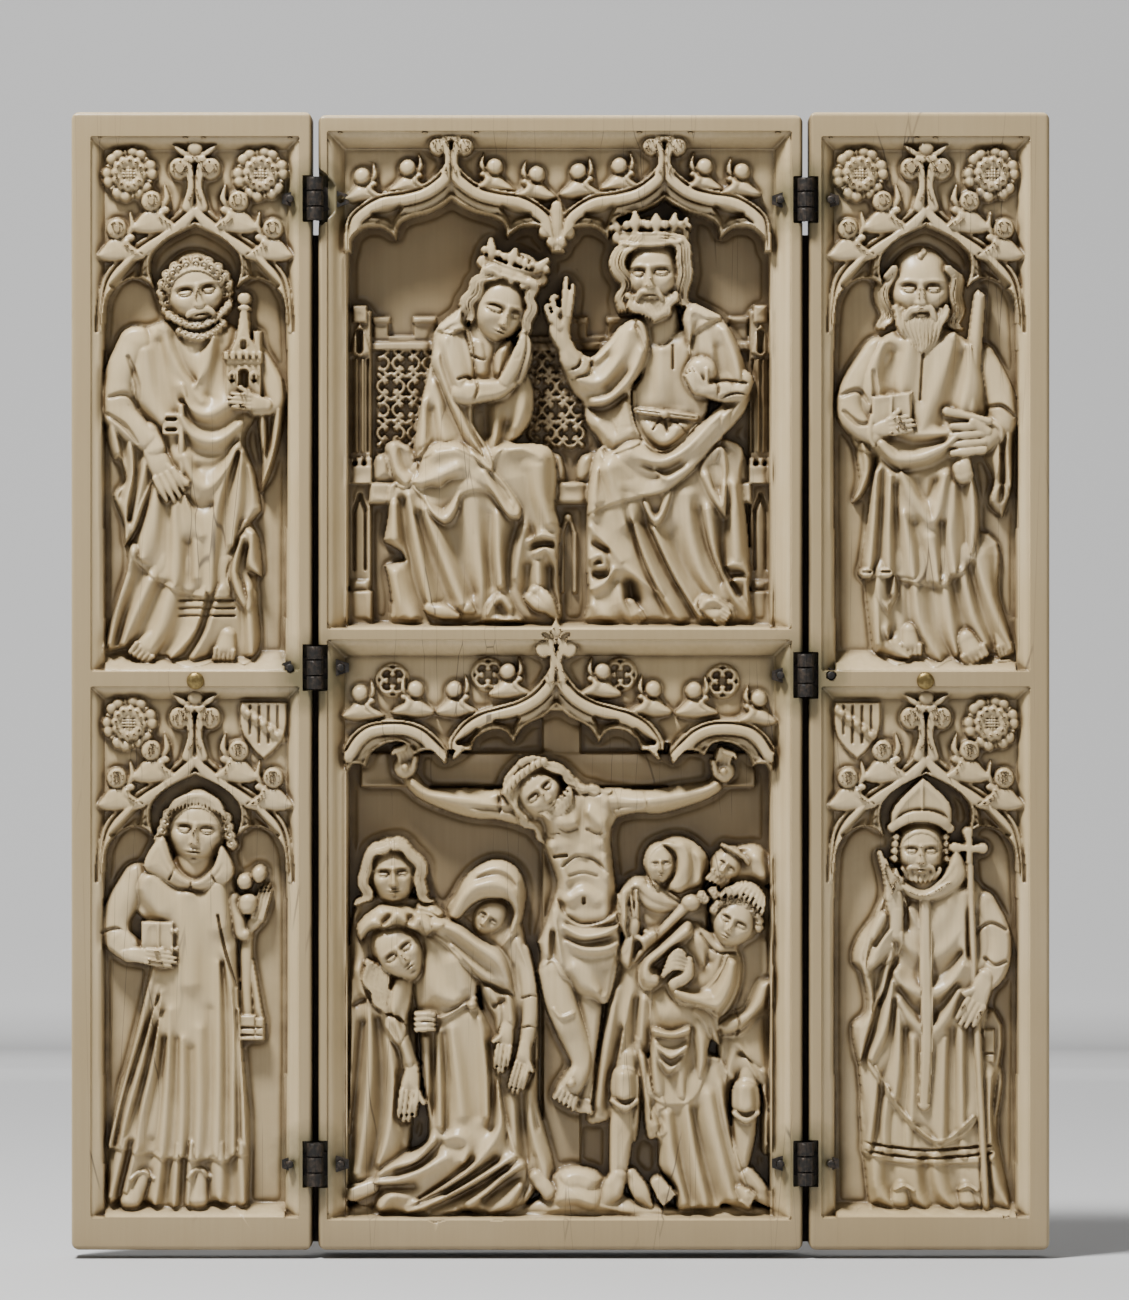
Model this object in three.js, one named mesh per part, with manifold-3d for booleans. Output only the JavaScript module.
// A carved ivory triptych: a thick centre leaf and two thinner wings on six small iron hinges.
// Each leaf is one solid, recessed from the front, with its arches and figures left standing in
// the recess. Millimetres, +Z up, the front towards -Y, the origin under the centre leaf.
//
// The carving is drawn as its carver saw it: x to the right, y up the leaf, and a height h that
// is 0 at the leaf's front plane and negative behind it. Each finished leaf is then stood up.
import * as THREE from 'three';
import { mergeVertices } from 'three/addons/utils/BufferGeometryUtils.js';
import { MeshoptSimplifier } from 'three/addons/libs/meshopt_simplifier.module.js';
import Module from 'manifold-3d';

const wasm = await Module();
wasm.setup();
await MeshoptSimplifier.ready;

// Leaves.
const CENTRE = { width: 101.4, height: 237.6, thick: 18 };
const WING = { width: 50.4, height: 238.2, thick: 10 };
const LEAF_GAP = 1.3;
const CORNER = 1.6;
const FRONT = -CENTRE.thick / 2;
const GROUND = { centre: -10, wing: -6 };
const SPANDREL = { centre: -4, wing: -2.8 };
const BURIED = 0.6;
const HIGHEST = -0.5;
const FACET_SLACK = 0.35;
const HAIR = 0.02;
const WELD = 0.002;
const ABOVE = 1;

// Hinges: a three-knuckle barrel in a notch, a tang in a slot on each side, and a rivet.
const AXIS_X = CENTRE.width / 2 + LEAF_GAP / 2;
const AXIS_H = 0.4;
const HINGE_UP = { left: [220.1, 121.9, 17.9], right: [219.9, 120.3, 18.0] };
const BARREL = { radius: 1.75, end: 2.7, middle: 3.0, play: 0.3, bore: 0.68 };
const PIN_RADIUS = 0.5;
const TANG = { thick: 1, h: -2.4, length: 7, root: 3.1, tip: 0.9 };
const NOTCH = { reach: 2.6, deep: -3.4 };
const CLEAR = 0.3;
const RIVET = { reach: 5.3, radius: 0.8, proud: 0.15, deep: -5.6, play: 0.15 };
const STUD = { up: 119.1, offset: 76.4, radius: 1.8, dome: 0.9, shank: 0.7, deep: -4 };

const IVORY = { color: 0xd8cbae, roughness: 0.42, metalness: 0 };
const IRON = { color: 0x1d1b19, roughness: 0.6, metalness: 0.8 };
const BRASS = { color: 0x6b5426, roughness: 0.45, metalness: 1 };

// ---------------------------------------------------------------- solids

function solid(geometry) {
  geometry.deleteAttribute('normal');
  geometry.deleteAttribute('uv');
  const merged = mergeVertices(geometry, 1e-4);
  const vertProperties = new Float32Array(merged.attributes.position.array);
  const triVerts = new Uint32Array(merged.index.array);
  return new wasm.Manifold(new wasm.Mesh({ numProp: 3, vertProperties, triVerts }));
}

function geometryOf(piece) {
  const { numProp, vertProperties, triVerts } = piece.getMesh();
  const geometry = new THREE.BufferGeometry();
  const position = new Float32Array((vertProperties.length / numProp) * 3);
  for (let i = 0; i < position.length / 3; i++) {
    for (let k = 0; k < 3; k++) position[3 * i + k] = vertProperties[numProp * i + k];
  }
  geometry.setAttribute('position', new THREE.BufferAttribute(position, 3));
  geometry.setIndex(new THREE.BufferAttribute(new Uint32Array(triVerts), 1));
  return parted(geometry);
}

// Where two skins of a piece touch at a corner, each corner is drawn a hair into the material.
function parted(geometry) {
  geometry.computeVertexNormals();
  const { position, normal } = geometry.attributes;
  const placeOf = (i) => {
    const point = [position.getX(i), position.getY(i), position.getZ(i)];
    return point.map((v) => Math.round(v / WELD)).join();
  };
  const shared = new Map();
  for (let i = 0; i < position.count; i++) {
    const place = placeOf(i);
    shared.set(place, [...(shared.get(place) ?? []), i]);
  }
  for (const corners of shared.values()) {
    for (const i of corners.length > 1 ? corners : []) {
      position.setXYZ(i, position.getX(i) - HAIR * normal.getX(i), position.getY(i) - HAIR * normal.getY(i),
        position.getZ(i) - HAIR * normal.getZ(i));
    }
  }
  geometry.deleteAttribute('normal');
  return geometry;
}

const joined = (pieces) => pieces.reduce((whole, piece) => whole.add(piece));
const less = (piece, cutters) => cutters.reduce((whole, cutter) => whole.subtract(cutter), piece);
// Small pockets shut in between overlapping forms are filled: only the outer skins are kept.
const filled = (piece) => joined(piece.decompose().filter((skin) => skin.volume() > 0));
const vectors = (points) => points.map(([x, y]) => new THREE.Vector2(x, y));

// Facets are merged where that moves the surface by less than the slack.
function thinned(piece) {
  const { vertProperties, triVerts } = piece.getMesh();
  const options = [triVerts, vertProperties, 3, 300, FACET_SLACK, ['ErrorAbsolute']];
  const [kept] = MeshoptSimplifier.simplify(...options);
  return new wasm.Manifold(new wasm.Mesh({ numProp: 3, vertProperties, triVerts: new Uint32Array(kept) }));
}

// Carving keeps between its ground and just below the leaf's front plane.
const carved = (pieces, ground, left, right) =>
  thinned(joined(pieces).intersect(brick([left, 1, right, CENTRE.height - 1], ground - BURIED, HIGHEST)));

// A slab cut to an outline, between two heights, with its front edge bevelled.
function slab(outline, low, high, bevel = 0) {
  const depth = high - low - 2 * bevel;
  const options = { depth, bevelEnabled: bevel > 0, bevelSize: bevel, bevelOffset: -bevel };
  Object.assign(options, { bevelThickness: bevel, bevelSegments: 1, curveSegments: 1, steps: 1 });
  const geometry = new THREE.ExtrudeGeometry(new THREE.Shape(vectors(outline)), options);
  geometry.translate(0, 0, low + bevel);
  return solid(geometry);
}

// A block whose lower and upper faces are two rectangles [left, bottom, right, top].
function block(lowRect, low, highRect, high) {
  const geometry = new THREE.BoxGeometry(1, 1, 1);
  const place = geometry.attributes.position;
  for (let i = 0; i < place.count; i++) {
    const rect = place.getZ(i) < 0 ? lowRect : highRect;
    const x = place.getX(i) < 0 ? rect[0] : rect[2];
    const y = place.getY(i) < 0 ? rect[1] : rect[3];
    place.setXYZ(i, x, y, place.getZ(i) < 0 ? low : high);
  }
  return solid(geometry);
}

const brick = (rect, low, high) => block(rect, low, rect, high);

// A tapering bar along points [x, y, h]: a fold, a limb or a lock of hair. Its section is an
// oval of `sides` sides with a corner at the front, `flat` times as deep as it is wide, and a
// radius of 0 makes a point.
function bar(points, radii, sides = 4, flat = 0.8) {
  const position = [];
  const index = [];
  const corner = [];
  points.forEach(([x, y, h], i) => {
    const before = points[Math.max(i - 1, 0)];
    const after = points[Math.min(i + 1, points.length - 1)];
    const along = new THREE.Vector2(after[0] - before[0], after[1] - before[1]).normalize();
    corner.push([]);
    for (let k = 0; k < sides; k++) {
      if (radii[i] > 0 || k === 0) {
        const turn = (2 * Math.PI * k) / sides + Math.PI / 2;
        const across = radii[i] * Math.cos(turn);
        const rise = radii[i] * flat * Math.sin(turn);
        position.push(x - along.y * across, y + along.x * across, h + rise);
      }
      corner[i].push(position.length / 3 - 1);
    }
  });
  const face = (a, b, c) => {
    if (a !== b && b !== c && a !== c) index.push(a, b, c);
  };
  for (let i = 0; i + 1 < points.length; i++) {
    for (let k = 0; k < sides; k++) {
      const next = (k + 1) % sides;
      face(corner[i][k], corner[i][next], corner[i + 1][k]);
      face(corner[i][next], corner[i + 1][next], corner[i + 1][k]);
    }
  }
  const last = points.length - 1;
  for (let k = 1; k + 1 < sides; k++) {
    face(corner[0][0], corner[0][k + 1], corner[0][k]);
    face(corner[last][0], corner[last][k], corner[last][k + 1]);
  }
  const geometry = new THREE.BufferGeometry();
  geometry.setAttribute('position', new THREE.Float32BufferAttribute(position, 3));
  geometry.setIndex(index);
  return solid(geometry);
}

// An egg with its own lean, in degrees from upright towards +x.
function egg([x, y, h], [rx, ry, rh], lean = 0, around = 6, rings = 4) {
  const geometry = new THREE.SphereGeometry(1, around, rings);
  geometry.scale(rx, ry, rh);
  geometry.rotateZ(THREE.MathUtils.degToRad(-lean));
  geometry.translate(x, y, h);
  return solid(geometry);
}

function peg(x, y, radius, low, high, sides = 6) {
  const geometry = new THREE.CylinderGeometry(radius, radius, high - low, sides);
  geometry.rotateX(Math.PI / 2);
  geometry.translate(x, y, (low + high) / 2);
  return solid(geometry);
}

// Points on a cubic curve, without its last point, so that curves chain into outlines.
function bend(from, pull, push, to, steps) {
  const line = new THREE.CubicBezierCurve(...vectors([from, pull, push, to]));
  return line.getPoints(steps).slice(0, -1).map((p) => [p.x, p.y]);
}

const mirrored = (outline, axis) => outline.map(([x, ...rest]) => [2 * axis - x, ...rest]);

// ---------------------------------------------------------------- tracery

// One ogee arch: `half` wide each side of its axis, `rise` high, with a cusp on each side.
// All its curves are drawn for the right half, away from the axis, and mirrored.
const WING_ARCH = {
  half: 20.6, rise: 25, shoulder: [20.2, 14], throat: [3, 12.5], crown: 17.8, foot: -4,
  lobe: [17.6, 6.5], cusp: [8.7, 4.2], inner: [8.6, 12.5], bevel: 0.5,
};
const TWIN_ARCH = {
  half: 22.4, rise: 15.4, shoulder: [19.5, 10], throat: [3.5, 6.5], crown: 9, foot: -5,
  lobe: [18.5, 2.5], cusp: [12, 0.2], inner: [8, 4.4], bevel: 0.5,
};

function archLines(arch, x, y, steps = 3) {
  const at = ([u, v]) => [x + u, y + v];
  const outer = bend(at([arch.half, 0]), at(arch.shoulder), at(arch.throat), at([0, arch.rise]), steps);
  const inside = arch.half - 1.2;
  const lobe = bend(at([inside, arch.foot]), at([inside, 3]), at(arch.lobe), at(arch.cusp), 2);
  const crown = bend(at(arch.cusp), at(arch.inner), at([3, arch.crown - 3]), at([0, arch.crown]), 2);
  return { outer, inner: [...lobe, ...crown], apex: at([0, arch.rise]), eye: at([0, arch.crown]) };
}

function arch(kind, x, y, low) {
  const { outer, inner, apex, eye } = archLines(kind, x, y);
  const rightSide = [[x + kind.half, y + kind.foot], ...outer, apex];
  const underside = [...inner, eye];
  const both = (line) => [...line, ...mirrored(line, x).reverse().slice(1)];
  const whole = [...both(rightSide), ...both(underside).reverse()];
  return [slab(whole, low, -0.7, kind.bevel)];
}

// The niche under an arch: from the arch's middle line down to the sill.
function archNiche(kind, x, y, sides, sill, low) {
  const { outer } = archLines({ ...kind, half: kind.half - 1.2, rise: kind.rise - 4 }, x, y - 1);
  const right = [[x + sides, sill], [x + sides, y], ...outer.slice(1), [x, y + kind.rise - 5]];
  return slab([...right, ...mirrored(right, x).reverse().slice(1)], low, ABOVE);
}

// A crocket: a bud on a curled leaf, standing on the arch. A finial: a bud between two balls.
function crocket(x, y, side, low, size = 1) {
  return [
    bar(
      [[x + 0.8 * side, y - 2.6 * size, low], [x + 0.8 * side, y, low + 0.6],
        [x - 0.4 * side, y + 4.6 * size, low]],
      [0, 3 * size, 0], 4, 1,
    ),
  ];
}

function finial(x, y, low) {
  const ball = (side) => egg([x + 3.2 * side, y + 3.2, low + 1.2], [3, 3.2, 2.6], 0, 4, 3);
  const rise = [[x, y - 3, low + 0.6], [x, y + 6, low + 0.8], [x, y + 10.4, low + 0.2]];
  const stem = bar(rise, [2.8, 2, 0], 3, 1);
  return [ball(1), ball(-1), stem];
}

// A double rose: two scalloped discs.
function rose(x, y, low) {
  const disc = (radius, petals, turn) => {
    const outline = [];
    for (let i = 0; i < petals * 2; i++) {
      const angle = turn + (Math.PI * i) / petals;
      const reach = radius * (i % 2 ? 0.86 : 1);
      outline.push([x + reach * Math.cos(angle), y + reach * Math.sin(angle)]);
    }
    return outline;
  };
  return [slab(disc(5.7, 8, 0), low - BURIED, low + 1.3), peg(x, y, 3, low, low + 1.9, 5)];
}

// A blank shield with one plain band across it.
function shield(x, y, low) {
  const [half, top, waist, tip] = [4.8, 5, -1, -7];
  const outline = [[-half, top], [half, top], [half, waist], [2.6, -4.6], [0, tip], [-2.6, -4.6],
    [-half, waist]];
  return [slab(outline.map(([u, v]) => [x + u, y + v]), low - BURIED, low + 1),
    bar([[x - half + 0.6, y + 3.6, low + 0.9], [x + half - 0.6, y - 2.6, low + 0.9]], [1, 1], 3, 0.8)];
}

// ---------------------------------------------------------------- figures

// A head: an egg for the face, a cap of hair behind it, and a nose.
function head(x, y, h, size, { lean = 0, hair = 1.24, beard = 0 } = {}) {
  const turn = THREE.MathUtils.degToRad(-lean);
  const at = (u, v) => [x + u * Math.cos(turn) - v * Math.sin(turn),
    y + u * Math.sin(turn) + v * Math.cos(turn)];
  const parts = [egg([x, y, h - size * 0.72], [size * 0.8, size, size * 0.75], lean)];
  if (hair) {
    const locks = [];
    for (let i = 0; i < 8; i++) {
      const angle = (Math.PI * (i + 0.5)) / 4;
      locks.push(at(size * hair * Math.cos(angle), size * (0.2 + 1.1 * Math.sin(angle))));
    }
    parts.push(slab(locks, -15, h - size * 0.5));
  }
  const bridge = [[...at(0, size * 0.2), h - 2.4], [...at(0, -size * 0.26), h - 1.4]];
  parts.push(bar(bridge, [0, size * 0.2], 3, 1.5));
  if (beard) {
    const chin = [[...at(0, -size * 0.5), h - 2], [...at(0, -size - beard), h - 2.2]];
    parts.push(bar(chin, [size * 0.62, size * 0.3], 4, 0.6));
  }
  return parts;
}

const arm = (points, radii = [3, 2.7, 1.5]) => bar(points, radii, 4);

// A hand grows from inside its sleeve, widens at the palm and narrows to the fingertips.
function hand(wrist, palm, tips, size = 1.6) {
  const sleeve = wrist.map((value, k) => value + 0.6 * (value - palm[k]));
  return bar([sleeve, palm, tips], [size * 0.75, size, size * 0.35], 4, 0.7);
}

const foot = (x, y, h, side) =>
  bar([[x - 0.8 * side, y + 2.6, h - 0.8], [x + 1.4 * side, y - 2.2, h - 0.4]], [2, 2.4], 4, 0.6);

// Cloth hung in folds, a net of facets. Each row runs from its left to its right edge and says
// how high it rises, how deep its pleats are, how far its middle sags and how much it stands
// out as a crease of its own: [y, left, right, rise, pleat, sag, crease].
function drapery(rows, low, pleats = 4) {
  const columns = 2 * pleats + 1;
  const front = [];
  const back = [];
  for (const [y, left, right, rise, pleat = 0, sag = 0, crease = 0] of rows) {
    for (let k = 0; k < columns; k++) {
      const across = k / (columns - 1);
      const swell = Math.sin(Math.PI * across);
      const edge = k === 0 || k === columns - 1;
      const fold = edge ? 0 : crease * swell + (k % 2 ? pleat / 2 : -pleat / 2);
      const place = [left + (right - left) * across, y - sag * swell];
      front.push(...place, low + rise * (edge ? 0.45 : 0.75 + 0.25 * swell) + fold);
      back.push(...place, low - 2 * BURIED);
    }
  }
  const index = [];
  const behind = front.length / 3;
  const quad = (a, b, c, d) => index.push(a, b, c, a, c, d);
  for (let i = 0; i + 1 < rows.length; i++) {
    for (let k = 0; k + 1 < columns; k++) {
      const a = i * columns + k;
      quad(a + columns, a + columns + 1, a + 1, a);
      quad(behind + a, behind + a + 1, behind + a + columns + 1, behind + a + columns);
    }
    const [first, last] = [i * columns, (i + 1) * columns - 1];
    quad(first, behind + first, behind + first + columns, first + columns);
    quad(last + columns, behind + last + columns, behind + last, last);
  }
  for (let k = 0; k + 1 < columns; k++) {
    const foot = (rows.length - 1) * columns + k;
    quad(k, k + 1, behind + k + 1, behind + k);
    quad(foot + 1, foot, behind + foot, behind + foot + 1);
  }
  const geometry = new THREE.BufferGeometry();
  geometry.setAttribute('position', new THREE.Float32BufferAttribute([...front, ...back], 3));
  geometry.setIndex(index);
  return solid(geometry);
}

// Bearded saint with a key and a model church, in a mantle gathered across him.
function saintWithKey(low) {
  const spire = [[-67.4, 200.5], [-65.2, 200.5], [-64.8, 195], [-62.6, 191], [-62.4, 186], [-70.2, 186],
    [-69.6, 191]];
  return [
    drapery([[194, -87, -69, 2.6, 0, 1], [184, -94, -61, 3.2, 0, 3, 0.3],
      [177, -95.4, -58, 3.3, 0, 5.5, -0.4],
      [173, -95, -59, 3.3, 0, 6, 0.7], [168, -94, -60, 3.3, 0, 6.5, -0.4],
        [164, -93.5, -61, 3.3, 0.2, 6, 0.6],
      [141.5, -90, -63.6, 3.3, 1.2, 3], [140.5, -91, -63.6, 2, 0.8, 3], [123, -95, -64.5, 2.5, 1.6]], low),
    arm([[-88, 190, low + 2.6], [-92.2, 178, low + 3], [-84.5, 168.5, low + 3.8]], [3.6, 3.4, 2.2]),
    hand([-84.5, 168.5, low + 4], [-81.5, 162.5, low + 4.3], [-79.5, 157.5, low + 3.6], 2.3),
    brick([-80.5, 160, -79, 176], low + 2, low + 4.4),
      brick([-83.4, 171, -79.5, 175.4], low + 2, low + 4.4),
    arm([[-62, 184, low + 2.6], [-59.6, 177, low + 3], [-63.5, 177, low + 4.2]], [3, 2.8, 1.9]),
    hand([-63.5, 177, low + 4.2], [-66, 178.4, low + 5], [-69, 178.4, low + 4.6], 1.9),
    brick([-69.8, 177, -62.8, 187], low, low + 4.6), slab(spire, low - BURIED, low + 3.8),
    ...head(-76, 201, low + 5.4, 8.3, { lean: 8, beard: 1.2, hair: 1.05 }),
    foot(-86, 126, low + 3.2, -1), foot(-70.8, 126, low + 3.2, 1),
  ];
}

// Young deacon with a book and three stones, in a long straight tunic.
function deacon(low) {
  return [
    drapery([[80, -85, -71, 2.6, 0, 1], [70, -90.4, -67.6, 3.3, 0.1], [60, -87, -68, 3.4, 0.4],
      [20.4, -95, -65.4, 3.7, 1.8],
      [19.4, -94.6, -65.8, 2.1, 1.2], [8.8, -95.4, -66, 2.4, 1.6]], low),
    arm([[-89.5, 76, low + 2.8], [-93, 65.5, low + 3], [-84, 61.5, low + 4.6]], [3.8, 3.4, 2]),
    hand([-85, 61.6, low + 4.6], [-82, 61.4, low + 5], [-80.4, 62.4, low + 4.6], 1.7),
    brick([-87.6, 61, -80.8, 68.6], low, low + 4.6),
    arm([[-69.5, 74, low + 2.4], [-67.6, 67, low + 2.2], [-65.6, 67.6, low + 2.4]], [2.6, 2, 1.6]),
    hand([-66.4, 66, low + 2.2], [-63.2, 69.5, low + 2.4], [-62, 77, low + 2], 1.6),
    egg([-65.6, 72.4, low + 2], [2.2, 2.3, 2.4], 0, 5, 3),
      egg([-66.2, 76.6, low + 1.4], [1.8, 2.4, 2.6], 0, 5, 3),
    egg([-63, 78.4, low + 1.4], [1.8, 2.2, 2.4], 0, 5, 3),
    bar([[-66.2, 66, low + 0.8], [-65.6, 48, low + 1]], [1.4, 1.6], 4),
      brick([-67.4, 43.6, -63.8, 49], low - 1, low + 2.8),
    bar([[-84, 79, low + 3.4], [-77, 76.4, low + 4.2], [-70.6, 79.5, low + 3.4]], [2, 2.2, 2]),
    ...head(-76.6, 87.4, low + 5.4, 7.8, { lean: 2, hair: 1.12 }),
    foot(-88.6, 12.4, low + 3, -1), foot(-75.6, 12.6, low + 3, 1),
  ];
}

// Bald long-bearded saint with a book, leaning on an upturned sword.
function saintWithSword(low) {
  return [
    drapery([[193, 69, 84, 2.6, 0, 1], [184, 61.6, 90, 3.2, 0, 3, 0.3], [177, 58, 95, 3.4, 0, 5, -0.4],
      [172.6, 59.4, 95, 3.4, 0, 5.4, 0.7], [168, 62, 94.4, 3.4, 0, 4.6, -0.4],
        [164, 62.6, 90, 3.4, 0.2, 5, 0.6],
      [141.4, 63.6, 87.4, 3.3, 1.3, 1.8], [140.4, 66, 88, 2, 0.8, 1.8], [122.6, 66, 95.4, 2.5, 1.6]], low),
    bar([[92.2, 170, low + 1.4], [92.8, 159, low + 1.8], [92.6, 153.8, low + 0.6]], [1.6, 2.2, 0], 3),
    bar([[66, 142, low + 3], [70, 141.4, low + 3.4], [68.4, 133.6, low + 2]], [1.6, 1.9, 0.4]),
    arm([[67, 189, low + 2.8], [60.6, 176, low + 3.2], [66.8, 172, low + 4.6]], [3.6, 3.3, 2]),
    hand([66.4, 171.6, low + 4.6], [70, 173, low + 5.2], [73.6, 173.4, low + 4.8], 1.9),
    slab([[65.4, 173], [73.8, 173.6], [73.4, 179.4], [65.6, 178.6]], low - BURIED, low + 4.6),
    arm([[91, 186, low + 2.4], [93.4, 174.6, low + 3], [87.6, 169.6, low + 4.8]], [3.4, 3.6, 2.4]),
    hand([88, 169.4, low + 4.8], [84.8, 169.6, low + 5.2], [82, 169.6, low + 4.6], 2.6),
    bar([[85.2, 174, low + 3.4], [88, 201.4, low + 3.4]], [2, 0.9], 4, 0.8),
    bar([[81, 175.8, low + 4.2], [89.6, 173.6, low + 4.2]], [0.9, 0.9]),
      egg([84, 163.6, low + 3.4], [2.3, 2.5, 1.8], 0, 5, 3),
    ...head(75.6, 201, low + 5.4, 8.4, { beard: 3.4, hair: 1.05 }),
    foot(73, 126, low + 2.8, -1), foot(86, 125.6, low + 3.4, 1), foot(93, 126, low + 2.6, 1),
  ];
}

// Mitred bishop, blessing, with a cross-staff, in a pointed chasuble over two tunics.
function bishop(low) {
  const mitre = [[69.6, 86.6], [69.4, 91.4], [75.8, 99], [81.6, 92.4], [81, 87]];
  return [
    drapery([[81, 70, 84, 2.6, 0, 2], [74, 66, 89, 3.2, 0, 3], [66, 62.6, 94, 3.4, 0, 5, -0.3],
      [60, 61.6, 93.4, 3.5, 0, 6, 0.7], [55, 62.6, 91.6, 3.5, 0, 6.6, -0.4],
        [51, 62.4, 90, 3.5, 0.2, 6.6, 0.6],
      [36, 64.4, 89, 3.3, 1, 13], [35, 64.4, 89.4, 2.4, 0.6, 13], [18.8, 63.6, 91, 2.6, 1],
      [17.8, 65, 91, 1.6, 1], [7.6, 64.8, 94.6, 2, 1.4]], low),
    bar([[70.6, 79, low + 3.6], [76.4, 75.4, low + 4.2], [83.6, 79.4, low + 3.6]], [2, 2.3, 2]),
    bar([[76.4, 73, low + 3.4], [76.4, 30, low + 3.2]], [1.2, 1.2], 4, 0.8),
    arm([[65.4, 71, low + 2.8], [66.4, 61.6, low + 3.2], [70.6, 70, low + 4.4]], [3, 3.4, 1.7]),
    hand([70.4, 69.6, low + 4.4], [69.8, 74, low + 5], [67.6, 83, low + 4.2], 1.9),
    arm([[90, 71, low + 2.4], [91, 60, low + 3], [87.6, 53, low + 4.2]], [3, 3.4, 2]),
    hand([88, 54, low + 4.2], [86.6, 51, low + 4.8], [84.6, 47, low + 4.2], 2.2),
    bar([[85.6, 84, low + 3.2], [89.4, 8.4, low + 2.6]], [0.9, 0.9], 4, 1.4),
    brick([84.9, 79.6, 86.4, 87.4], low + 1, low + 4.4),
      brick([82.4, 82.8, 88.6, 84.5], low + 1, low + 4.4),
    slab(mitre, low - BURIED, low + 4.2),
    ...head(75.6, 82.6, low + 5.2, 6.4, { hair: 0 }),
    foot(71.4, 11.6, low + 2.8, -1), foot(85.4, 11.6, low + 2.8, 1),
  ];
}

// The throne: posts, a crenellated back and a seat.
function throne(low) {
  const posts = [[-44.8, -39.8], [39.9, 44.6]].flatMap(([left, right]) => [
    brick([left, 160.4, right, 197.4], low - BURIED, low + 2.6),
      brick([left, 160.4, right, 165.6], low, low + 3.6),
    brick([left, 137, right, 160.4], low - BURIED, low + 2),
      brick([left, 130.4, right, 139.4], low, low + 3.4),
  ]);
  const back = [brick([-40, 189.6, 40, 192], low - BURIED, low + 1.4),
    brick([-40, 156, 40, 161], low - BURIED, low + 3)];
  for (let i = 0; i < 8; i++) back.push(brick([-38 + i * 9.9, 191.6, -33.4 + i * 9.9, 195.6], low - BURIED,
    low + 1.2));
  return [...posts, ...back];
}

// A crown: a band with four leaf points.
function crown(x, y, h, width, lean) {
  const turn = THREE.MathUtils.degToRad(-lean);
  const at = (u, v) => [x + u * Math.cos(turn) - v * Math.sin(turn),
    y + u * Math.sin(turn) + v * Math.cos(turn)];
  const half = width / 2;
  const band = bar([[...at(-half, 0.6), h - 3.4], [...at(0, -0.6), h - 1], [...at(half, 0.6), h - 3.4]],
    [1.8, 2, 1.8], 4);
  const points = [-0.95, -0.35, 0.35, 0.95].map((k) => bar(
    [[...at(half * k, 0), h - 1.4 * Math.abs(k) - 2.4], [...at(half * k, 5.4), h - 1.4 * Math.abs(k) - 2]],
    [1.7, 0.4], 3));
  return [band, ...points];
}

// Crowned woman, seated, turned with joined hands to the man beside her.
function queen(low) {
  return [
    drapery([[193, -25.6, -16, 3.6, 0, 1], [184, -27.4, -12, 4.4, 0, 3], [176, -29, -12, 4.6, 0, 5, 0.4],
      [168, -34, -8, 5, 0, 3, 0.5], [163, -35, -3, 6.4, 0.3, 2, 1.2], [156, -35, -1, 5.6, 0.8, 3, -0.3],
      [131, -36.6, 0, 5.4, 2.4]], low),
    arm([[-23, 189, low + 5], [-20.6, 181, low + 6.4], [-11.6, 183, low + 7.6]], [4.4, 3.2, 1.7]),
    hand([-11.6, 183, low + 7.6], [-9.4, 187, low + 8], [-7.4, 191.6, low + 7.4], 1.7),
    bar([[-17, 180, low + 4.4], [-15, 172, low + 4.8], [-14, 166, low + 4.4]], [2.2, 1.8, 0], 3),
    ...head(-12.6, 199, low + 8.4, 8.2, { lean: 16, hair: 1.02 }),
      ...crown(-10.6, 206.4, low + 7.4, 12.4, 8),
    bar([[-24, 133.6, low + 4.8], [-17, 131.8, low + 5.4]], [2, 1]),
    bar([[-5, 134.6, low + 5], [-1.6, 131.8, low + 5.4]], [2.2, 1.2]),
  ];
}

// Crowned bearded man, seated, blessing, with an orb on his knee.
function king(low) {
  return [
    drapery([[194, 14, 34, 3.8, 0, 1], [186, 9, 38, 4.6, 0, 3], [178, 5, 39.6, 4.6, 0, 5],
      [171, 9, 39.4, 4.8, 0, 6, 0.6],
      [165, 7, 39, 5.4, 0.2, 4, 1], [158, 5.4, 38.6, 6.2, 0.8, 3, 0.8], [131, 5.8, 39.6, 5.4, 2.4]], low),
    bar([[15.6, 175, low + 4.6], [20, 174, low + 5], [28, 175, low + 4.6]], [0.9, 1.1, 0.9], 3),
    arm([[14, 189.6, low + 5], [6.6, 181.4, low + 6.4], [1.6, 189.6, low + 7.4]], [4.4, 3.6, 2]),
    hand([1.2, 190.6, low + 7.4], [0, 195.4, low + 7.8], [1.8, 203, low + 7], 2.2),
    arm([[34, 191, low + 4.6], [37.4, 181, low + 5.6], [30.4, 180.6, low + 7.4]], [4.6, 3.6, 1.8]),
    hand([31, 180.6, low + 7.4], [28.6, 181.6, low + 8], [26.8, 184, low + 7.6], 1.9),
    egg([29.6, 184.4, low + 6.4], [3, 3, 2.6], 0, 5, 3),
    ...head(20, 204, low + 8.6, 8.3, { lean: -3, beard: 1, hair: 1.1 }),
      ...crown(19, 213.6, low + 7.6, 13.4, -4),
    bar([[14, 134, low + 4.4], [17.4, 131.4, low + 5]], [2, 1.2]),
    bar([[29, 135.6, low + 5], [34, 132.4, low + 5.6]], [2.4, 1.4]),
  ];
}

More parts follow.
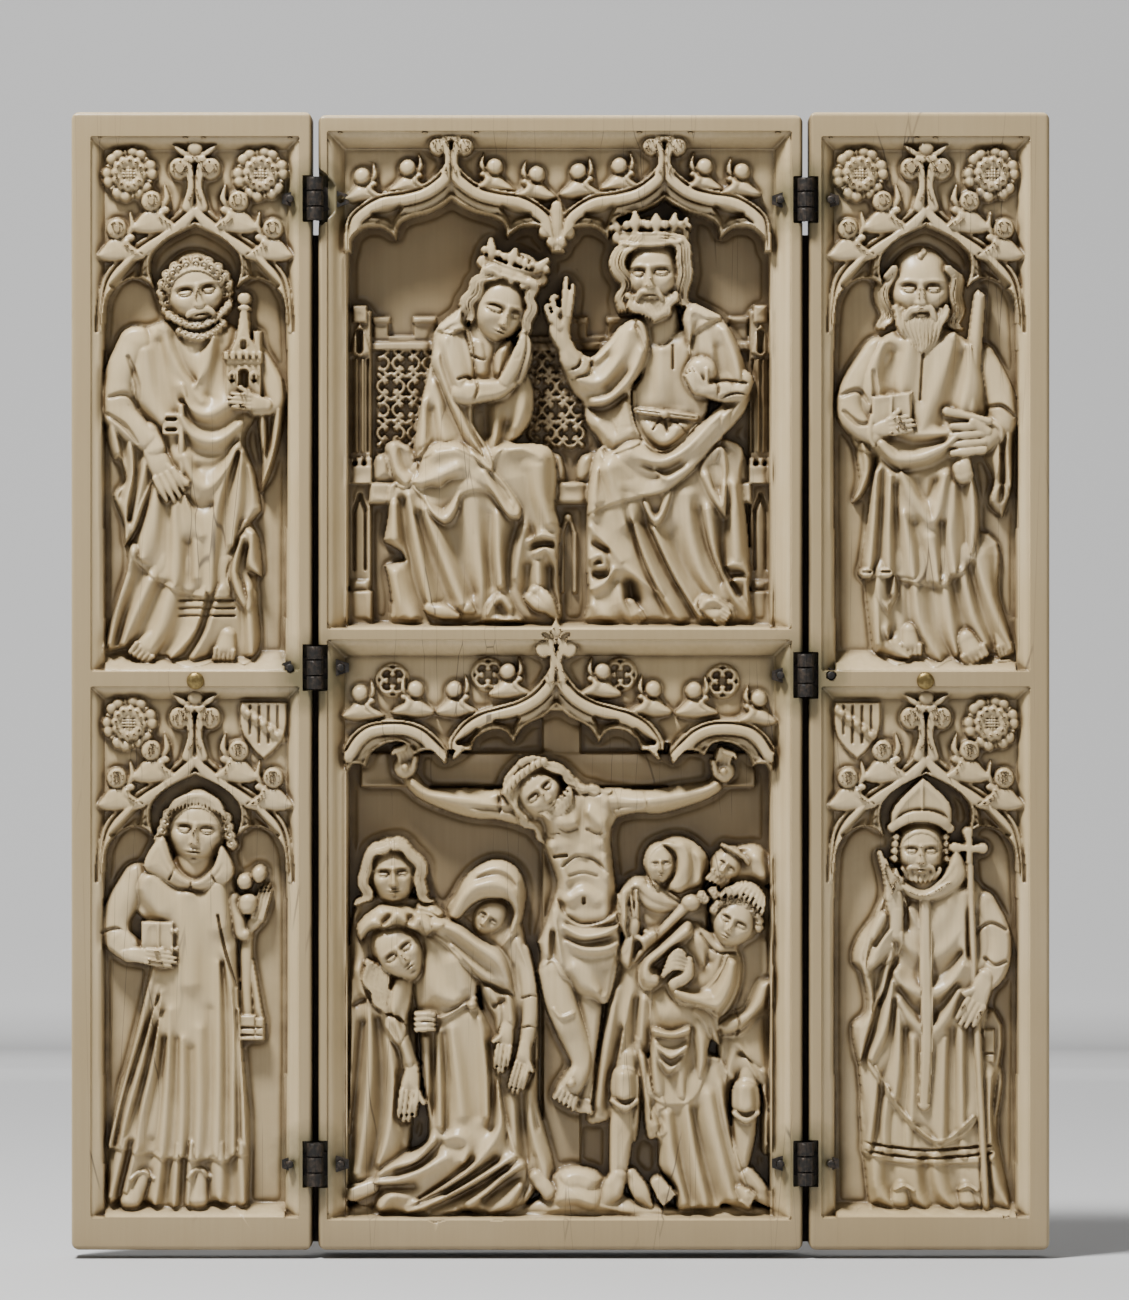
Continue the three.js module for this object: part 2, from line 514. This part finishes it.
// Christ on the cross: bare body, loincloth, crossed feet on one nail.
function crucified(low) {
  return [
    brick([-3.6, 12, 4, 104], low - BURIED, low + 1.6),
      brick([-42, 96.4, 42, 103.6], low - BURIED, low + 1.8),
    drapery([[97.4, -10, 12, 4], [91, -11, 13.4, 4.8], [85, -4.6, 11.2, 5], [78, -2.4, 11, 4.6],
      [71, -0.6, 12, 5]], low, 2),
    drapery([[74, -0.8, 12.6, 5, 0, 2, 0.4], [69, -3, 13, 5.4, 0, 5, -0.3],
      [65, -4.6, 14.4, 5.4, 0, 5, 0.6],
      [60, -4.4, 14.6, 5.4, 0.8, 3], [54, -1, 11, 5, 1.2]], low, 2),
    arm([[-8, 93.6, low + 4.2], [-22, 94, low + 4], [-31.4, 98, low + 4.4]], [3, 2.5, 1.5]),
    arm([[10, 93.6, low + 4.2], [23, 93.6, low + 4], [32.4, 98, low + 4.4]], [3, 2.5, 1.5]),
    hand([-31, 98, low + 4.4], [-33, 101.6, low + 4.6], [-35.4, 105, low + 4], 1.9),
    hand([32, 98, low + 4.4], [34.4, 101.6, low + 4.6], [37.4, 105, low + 4], 1.9),
    arm([[0, 58, low + 4.6], [1.4, 46, low + 4.8], [3.4, 36, low + 4.4]], [4, 2.8, 2.2]),
    arm([[6, 58, low + 4], [6.4, 46, low + 3.6], [4.4, 37, low + 4]], [3.6, 2.6, 2]),
    bar([[3.4, 39, low + 4], [1.6, 33.4, low + 4.8], [0.4, 30.4, low + 4]], [1.9, 2.4, 1]),
    bar([[4.6, 39, low + 3.6], [4.6, 32.6, low + 4], [4.4, 27.6, low + 3.4]], [1.9, 2.2, 1]),
    ...head(-4.2, 97, low + 7.6, 6.6, { lean: -34, beard: 0.6, hair: 1.12 }),
    egg([5, 11, low + 2], [13, 5, 4.4], 0, 8, 4),
  ];
}

// The swooning mother held up by two women.
function women(low) {
  return [
    drapery([[72, -41, -26, 3.2], [58, -45.2, -28, 3.4, 0.4], [12, -45.2, -30, 3.8, 1.8]], low, 3),
    drapery([[68, -17, -7, 3], [56, -14, -5.6, 3.4, 0.3], [13, -10, -2, 3.6, 1.4]], low, 2),
    drapery([[65, -31, -20, 4], [57, -31.6, -13, 5, 0, 2], [50, -31.4, -12, 5.4, 0.2, 1],
      [40, -30, -13, 5.4, 0.8],
      [21, -32, -8, 5.4, 1.4, 2, 0.4], [14, -39, -4, 5.6, 0.6, 3, -0.5],
      [7.6, -40, -2, 5.8, 0.4, 0, 0.8]], low, 4),
    bar([[-27, 66, low + 3], [-16, 60, low + 3.4], [-11.6, 50, low + 3]], [2.4, 3.4, 2.4], 4, 1),
    arm([[-32, 55, low + 5], [-31.4, 43, low + 5.4], [-31.4, 35, low + 5.4]], [3.2, 2.4, 1.6]),
    hand([-31.4, 35, low + 5.4], [-32, 31.4, low + 5.8], [-32.6, 25, low + 5.2], 2),
    hand([-12.8, 48, low + 4.6], [-12, 40, low + 5], [-12, 34, low + 4.4], 2.2),
    arm([[-7.6, 55, low + 3.6], [-7.6, 46, low + 4.2], [-8.4, 40, low + 4.6]], [2.4, 2, 1.4]),
    hand([-8.2, 41, low + 4.6], [-8.6, 38, low + 5], [-9.8, 33.4, low + 4.6], 1.7),
    hand([-29.4, 46, low + 5], [-27.6, 47.6, low + 6], [-25.6, 47.4, low + 5.6], 2.2),
    bar([[-40.6, 68, low + 3.8], [-33, 71.6, low + 5], [-26, 68.4, low + 4.4]], [1.6, 1.9, 1.2]),
    ...head(-34.6, 63, low + 7, 6.2, { lean: 4, hair: 1.1 }),
    ...head(-35, 78.6, low + 5.6, 6.6, { hair: 1.12 }),
    egg([-14.4, 75, low + 2.4], [7, 7.4, 4.4], 12),
      ...head(-16.4, 70.6, low + 4.8, 4.8, { lean: 14, hair: 0 }),
    bar([[-40, 10, low + 4], [-44, 8.6, low + 4]], [2.4, 1.4]),
  ];
}

// The youth with clasped hands before two men, one hooded with a club, one in a cap.
function men(low) {
  const leg = (x, knee, ankle) => bar([[x, knee + 8, low + 3], [x + 0.6, knee, low + 3.6],
    [x - 0.4, ankle, low + 3]],
    [2.2, 2.7, 1.9]);
  return [
    drapery([[76, 13, 30, 3], [60, 11, 26, 3.2, 0.6], [24, 13, 20, 3, 1.2]], low, 2),
    drapery([[74, 34, 44.6, 2.8], [28, 36, 44.6, 3.2, 1.2]], low, 2),
    drapery([[68, 27, 38, 4], [58, 16, 38.4, 5, 0, 2], [50, 16, 36, 5.2, 0.3, 2, 0.4],
      [44, 15.8, 34.6, 5.2, 0.8, 3, -0.3],
      [38, 17, 34.8, 5.4, 1, 4, 0.5], [8.4, 22, 39.6, 5.6, 2.2]], low, 3),
    arm([[36, 61, low + 5], [33, 53, low + 5.8], [25, 55, low + 6.8]], [3.4, 3, 1.7]),
    hand([26, 54.6, low + 6.8], [24.4, 58.6, low + 7.4], [26.2, 61.4, low + 6.8], 2.1),
    arm([[26, 67, low + 4.6], [17.6, 60.4, low + 5.2], [22, 57.4, low + 6.6]], [2.4, 2.2, 1.5]),
    bar([[14.6, 60, low + 3.4], [26.4, 72.6, low + 4.4]], [0.9, 0.9], 4, 1.4),
      egg([27, 72.8, low + 4], [2.5, 2, 2.4], 0, 5, 3),
    hand([17, 62, low + 4], [18.6, 63.6, low + 4.8], [20, 65.6, low + 4.4], 1.8),
    arm([[42.6, 68, low + 3], [42.4, 56, low + 3.8], [36, 47, low + 4.6]], [3, 2.6, 1.6]),
    leg(12, 33, 10), leg(39, 32, 10),
    egg([25, 80, low + 2], [6.4, 7, 4.6]), ...head(20.6, 80.4, low + 5.2, 4.6, { lean: -4, hair: 0 }),
    egg([40, 80.6, low + 1.6], [4.8, 6, 4.6]), ...head(35.6, 81, low + 4.4, 4.4, { lean: 20, hair: 0 }),
    ...head(36, 67.6, low + 7.2, 5.6, { lean: -18, hair: 0 }),
      egg([36.6, 72.2, low + 3.6], [6.4, 4.8, 4.4]),
    bar([[12.6, 13, low + 3.8], [7.4, 8.6, low + 3.8]], [2.4, 1.2]), foot(21.6, 12, low + 4.6, 1),
      foot(42, 12, low + 4.2, 1),
  ];
}

// ---------------------------------------------------------------- leaves

function cornered(left, right, height) {
  return [[left + CORNER, 0], [right - CORNER, 0], [right, CORNER], [right, height - CORNER],
    [right - CORNER, height],
    [left + CORNER, height], [left, height - CORNER], [left, CORNER]];
}

// What a hinge takes out of a leaf's edge: the barrel's notch, the tang's slot and the rivet's hole.
// `into` is +1 where the leaf lies on the +x side of the axis.
function hingeSeat(axis, up, into, rivet = true) {
  const half = BARREL.end + BARREL.play + BARREL.middle / 2 + CLEAR;
  const span = (near, far) => [axis + into * near, axis + into * far].sort((a, b) => a - b);
  const [left, right] = span(-1, NOTCH.reach);
  const [slotLeft, slotRight] = span(0, TANG.length + CLEAR);
  const [low, high] = [TANG.h - TANG.thick / 2 - CLEAR, TANG.h + TANG.thick / 2 + CLEAR];
  const seat = [brick([left, up - half, right, up + half], NOTCH.deep, ABOVE),
    brick([slotLeft, up - TANG.root - CLEAR, slotRight, up + TANG.root + CLEAR], low, high)];
  if (rivet) seat.push(peg(axis + into * RIVET.reach, up, RIVET.radius + RIVET.play, RIVET.deep - CLEAR,
    ABOVE));
  return seat;
}

// Both wings are carved as their own leaf; `side` is -1 for the left and +1 for the right.
const WING_NICHE = { near: 57.4, far: 95.6, upper: [121.3, 230.3], lower: [7, 115.2], chamfer: 2.7 };
const ARCH_X = 76.6;
const ARCH_UP = { upper: 197, lower: 81.9 };

function wingLeaf(side, figures) {
  const low = GROUND.wing;
  const rect = (grow, [bottom, top], lift = grow) => {
    const [near, far] = [WING_NICHE.near - grow, WING_NICHE.far + grow];
    return side < 0 ? [-far, bottom, -near, top + lift] : [near, bottom, far, top + lift];
  };
  const edges = [side * (AXIS_X + LEAF_GAP / 2), side * (AXIS_X + LEAF_GAP / 2 + WING.width)].sort((a,
    b) => a - b);
  const cuts = [];
  const carving = [];
  for (const storey of ['upper', 'lower']) {
    const span = WING_NICHE[storey];
    const arched = ARCH_UP[storey];
    const widest = WING_NICHE.chamfer * (1 + ABOVE / -SPANDREL.wing);
    cuts.push(block(rect(0, span), SPANDREL.wing, rect(widest, span), ABOVE));
    cuts.push(archNiche(WING_ARCH, side * ARCH_X, arched, 19.1, span[0], low));
    const sill = storey === 'upper' ? 4.2 : 2.4;
    const step = [span[0] - 1, span[0]];
    carving.push(block(rect(0, step, sill + 0.4), low - BURIED, rect(2, step, 0), 0));
    carving.push(...arch(WING_ARCH, side * ARCH_X, arched, low - BURIED),
      ...finial(side * ARCH_X, arched + 25, SPANDREL.wing));
    for (const to of [-1, 1]) {
      carving.push(...crocket(side * ARCH_X + 8.4 * to, arched + 21.4, to, SPANDREL.wing));
      carving.push(...crocket(side * ARCH_X + 15.4 * to, arched + 15.6, to, SPANDREL.wing, 0.9));
      const [x, y] = [side * ARCH_X + 13.8 * to, arched + 28.6];
      const bearsShield = storey === 'lower' && to === -side;
      const bearing = bearsShield ? shield(x + 0.4 * to, y - 1, SPANDREL.wing) : rose(x, y, SPANDREL.wing);
      carving.push(...bearing);
    }
  }
  const body = less(slab(cornered(edges[0], edges[1], WING.height), -WING.thick, 0), cuts);
  const seats = HINGE_UP[side < 0 ? 'left' : 'right'].flatMap((up) => hingeSeat(side * AXIS_X, up, side));
  const stud = peg(side * STUD.offset, STUD.up, STUD.shank + RIVET.play, STUD.deep - CLEAR, ABOVE);
  return less(filled(body.add(carved([...carving, ...figures.flatMap((figure) => figure(low))], low,
    edges[0] + 1, edges[1] - 1))), [...seats, stud]);
}

const CENTRE_NICHE = { left: -45.3, right: 44.8, upper: [130, 230.7], lower: [6.4, 124.3] };
const TWIN_X = [-22.9, 21.8];
const TWIN_UP = 214;
const GREAT = { x: -0.9, up: 103, half: 22.4 };

// The great arch over the crucifixion: a tall middle arch between two low quarter arches.
const GREAT_ARCH = {
  half: GREAT.half, rise: 20, shoulder: [18.5, 13], throat: [2.6, 6.5], crown: 10.4, foot: -1,
  lobe: [17, 4.6], cusp: [8.6, 3.2], inner: [7.6, 6.4], bevel: 0.5,
};

function sideArch(side, low) {
  const near = GREAT.x + side * (GREAT.half - 1);
  const far = side < 0 ? CENTRE_NICHE.left : CENTRE_NICHE.right;
  const span = far - near;
  const at = (u, v) => [near + span * u, GREAT.up + v];
  const top = [...bend(at(0, 4), at(0.2, 7.4), at(0.65, 9.4), at(1, 3.2), 4), at(1, 3.2)];
  const under = [...bend(at(1, -4.4), at(0.9, 0.6), at(0.8, 0.6), at(0.74, -0.6), 2),
    ...bend(at(0.74, -0.6), at(0.6, 4), at(0.4, 3.6), at(0.3, 0.6), 3),
    ...bend(at(0.3, 0.6), at(0.2, 1.2), at(0.1, 0.2), at(0, -2), 2), at(0, -2)];
  return [slab([...top, ...under], low, -0.7)];
}

function quatrefoil(x, y, low) {
  const lobes = [];
  for (let i = 0; i < 8; i++) {
    const reach = i % 2 ? 2 : 3.3;
    lobes.push([x + reach * Math.cos((Math.PI * i) / 4), y + reach * Math.sin((Math.PI * i) / 4)]);
  }
  return [slab(lobes, low - BURIED, low + 0.9)];
}

function centreLeaf() {
  const low = GROUND.centre;
  const { left, right, upper, lower } = CENTRE_NICHE;
  const shallow = SPANDREL.centre;
  const cuts = [
    block([left, upper[0], right, upper[1]], shallow, [left - 1, upper[0], right + 1, upper[1] + 5.4],
      ABOVE),
    block([left, lower[0], right, lower[1]], shallow, [left, lower[0], right, lower[1] + 2.6], ABOVE),
    brick([left, upper[0], right, TWIN_UP + 3], low, 0),
      brick([left, lower[0], right, GREAT.up + 2], low, 0),
    ...TWIN_X.map((x) => archNiche(TWIN_ARCH, x, TWIN_UP, 22, 200, low)),
    archNiche(GREAT_ARCH, GREAT.x, GREAT.up, 22, 90, low),
  ];
  const ledge = block([left, upper[0] - 1, right, upper[0] + 1.4], low - BURIED,
    [left, upper[0] - 1, right, upper[0]], 0);
  const rocks = [[-38, 7], [-16, 6.6], [14, 8], [34, 7]].map(([x, y]) => egg([x, y, low + 1],
    [13, 3.6, 7]));
  const carving = [ledge, ...rocks];
  for (const x of TWIN_X) carving.push(...arch(TWIN_ARCH, x, TWIN_UP, low - BURIED),
    ...finial(x, TWIN_UP + 13, shallow));
  carving.push(egg([(TWIN_X[0] + TWIN_X[1]) / 2, TWIN_UP - 1.6, -3.4], [3.1, 3.4, 2.8]));
  for (const x of TWIN_X) {
    for (const to of [-1, 1]) {
      carving.push(...crocket(x + 8.4 * to, TWIN_UP + 12.4, to, shallow, 0.8));
      carving.push(...crocket(x + 16.4 * to, TWIN_UP + 11, to, shallow, 0.75));
    }
  }
  carving.push(...arch(GREAT_ARCH, GREAT.x, GREAT.up, low - BURIED),
    ...finial(GREAT.x, GREAT.up + 19.5, shallow));
  for (const to of [-1, 1]) {
    carving.push(...sideArch(to, low - BURIED));
    for (const [u, v] of [[9.2, 18], [19.6, 14], [29.6, 13.6], [41, 12.6]]) {
      carving.push(...crocket(GREAT.x + to * u, GREAT.up + v, to, shallow, 0.8));
    }
    for (const u of [14, 34.6]) carving.push(...quatrefoil(GREAT.x + to * u, GREAT.up + 16.6, shallow));
  }
  carving.push(...throne(low), ...queen(low), ...king(low), ...crucified(low), ...women(low), ...men(low));
  const half = CENTRE.width / 2;
  const body = less(slab(cornered(-half, half, CENTRE.height), -CENTRE.thick, 0), cuts);
  const seats = [-1, 1].flatMap((side) => HINGE_UP[side < 0 ? 'left' : 'right'].flatMap((up, i) =>
    hingeSeat(side * AXIS_X, up, -side, !(side < 0 && i === 0))));
  // The ivory in front of the top left tang has broken away.
  const lost = slab([[-half - 1, 225.4], [-half + 1, 225.2], [-45.4, 220.8], [-45.4, 219.6],
    [-half + 1, 215.4],
    [-half - 1, 215]], TANG.h + TANG.thick / 2, ABOVE);
  return less(filled(body.add(carved(carving, low, left - BURIED, right + BURIED))), [...seats, lost]);
}

// ---------------------------------------------------------------- hardware

// One side of a hinge: its knuckles round the pin, a web behind them and a pointed tang.
function hingeHalf(axis, up, into, knuckles) {
  const ring = (radius, low, high, sides) => {
    const geometry = new THREE.CylinderGeometry(radius, radius, high - low, sides);
    geometry.translate(axis, up + (low + high) / 2, AXIS_H);
    return solid(geometry);
  };
  const x = (reach) => axis + into * reach;
  const between = (a, b, c, d) => [Math.min(x(a), x(b)), up + c, Math.max(x(a), x(b)), up + d];
  const [low, high] = [TANG.h - TANG.thick / 2, TANG.h + TANG.thick / 2];
  const tang = slab([[x(0.1), up - TANG.root], [x(TANG.length), up - TANG.tip],
    [x(TANG.length), up + TANG.tip],
    [x(0.1), up + TANG.root]], low, high);
  const metal = [tang];
  const bores = [peg(x(RIVET.reach), up, RIVET.radius + RIVET.play, low - 1, high + 1)];
  for (const [from, to] of knuckles) {
    metal.push(ring(BARREL.radius, from, to, 8), brick(between(0.1, 1.3, from, to), low, AXIS_H));
    bores.push(ring(BARREL.bore, from - 1, to + 1, 6));
  }
  return less(joined(metal), bores);
}

function mushroom(x, y, radius, dome, shank, deep) {
  const profile = [[0, deep], [shank, deep], [shank, 0.12], [radius, 0.12], [radius * 0.72, dome * 0.75],
    [0, dome]];
  const geometry = new THREE.LatheGeometry(vectors(profile), 8);
  geometry.rotateX(Math.PI / 2);
  geometry.translate(x, y, 0);
  return solid(geometry);
}

// ---------------------------------------------------------------- the triptych

const triptych = new THREE.Group();

function stand(name, piece, finish) {
  const mesh = new THREE.Mesh(geometryOf(piece), new THREE.MeshStandardMaterial(finish));
  mesh.name = name;
  mesh.rotation.x = Math.PI / 2;
  mesh.position.y = FRONT;
  triptych.add(mesh);
}

stand('centre_leaf', centreLeaf(), IVORY);
stand('left_wing', wingLeaf(-1, [saintWithKey, deacon]), IVORY);
stand('right_wing', wingLeaf(1, [saintWithSword, bishop]), IVORY);

const nearEnd = BARREL.middle / 2 + BARREL.play;
const outerKnuckles = [[-nearEnd - BARREL.end, -nearEnd], [nearEnd, nearEnd + BARREL.end]];
const middleKnuckle = [[-BARREL.middle / 2, BARREL.middle / 2]];
for (const [sideName, side] of [['left', -1], ['right', 1]]) {
  ['top', 'middle', 'bottom'].forEach((level, i) => {
    const up = HINGE_UP[sideName][i];
    const name = `${sideName}_${level}`;
    stand(`${name}_hinge_centre_half`, hingeHalf(side * AXIS_X, up, -side, outerKnuckles), IRON);
    stand(`${name}_hinge_wing_half`, hingeHalf(side * AXIS_X, up, side, middleKnuckle), IRON);
    const pin = new THREE.CylinderGeometry(PIN_RADIUS, PIN_RADIUS, 2 * (nearEnd + BARREL.end), 6);
    pin.translate(side * AXIS_X, up, AXIS_H);
    stand(`${name}_hinge_pin`, solid(pin), IRON);
    const rivet = (into) => peg(side * AXIS_X + into * RIVET.reach, up, RIVET.radius, RIVET.deep,
      RIVET.proud);
    if (name !== 'left_top') stand(`${name}_centre_rivet`, rivet(-side), IRON);
    stand(`${name}_wing_rivet`, rivet(side), IRON);
  });
  const stud = mushroom(side * STUD.offset, STUD.up, STUD.radius, STUD.dome, STUD.shank, STUD.deep);
  stand(`${sideName}_brass_stud`, stud, BRASS);
}

export default triptych;
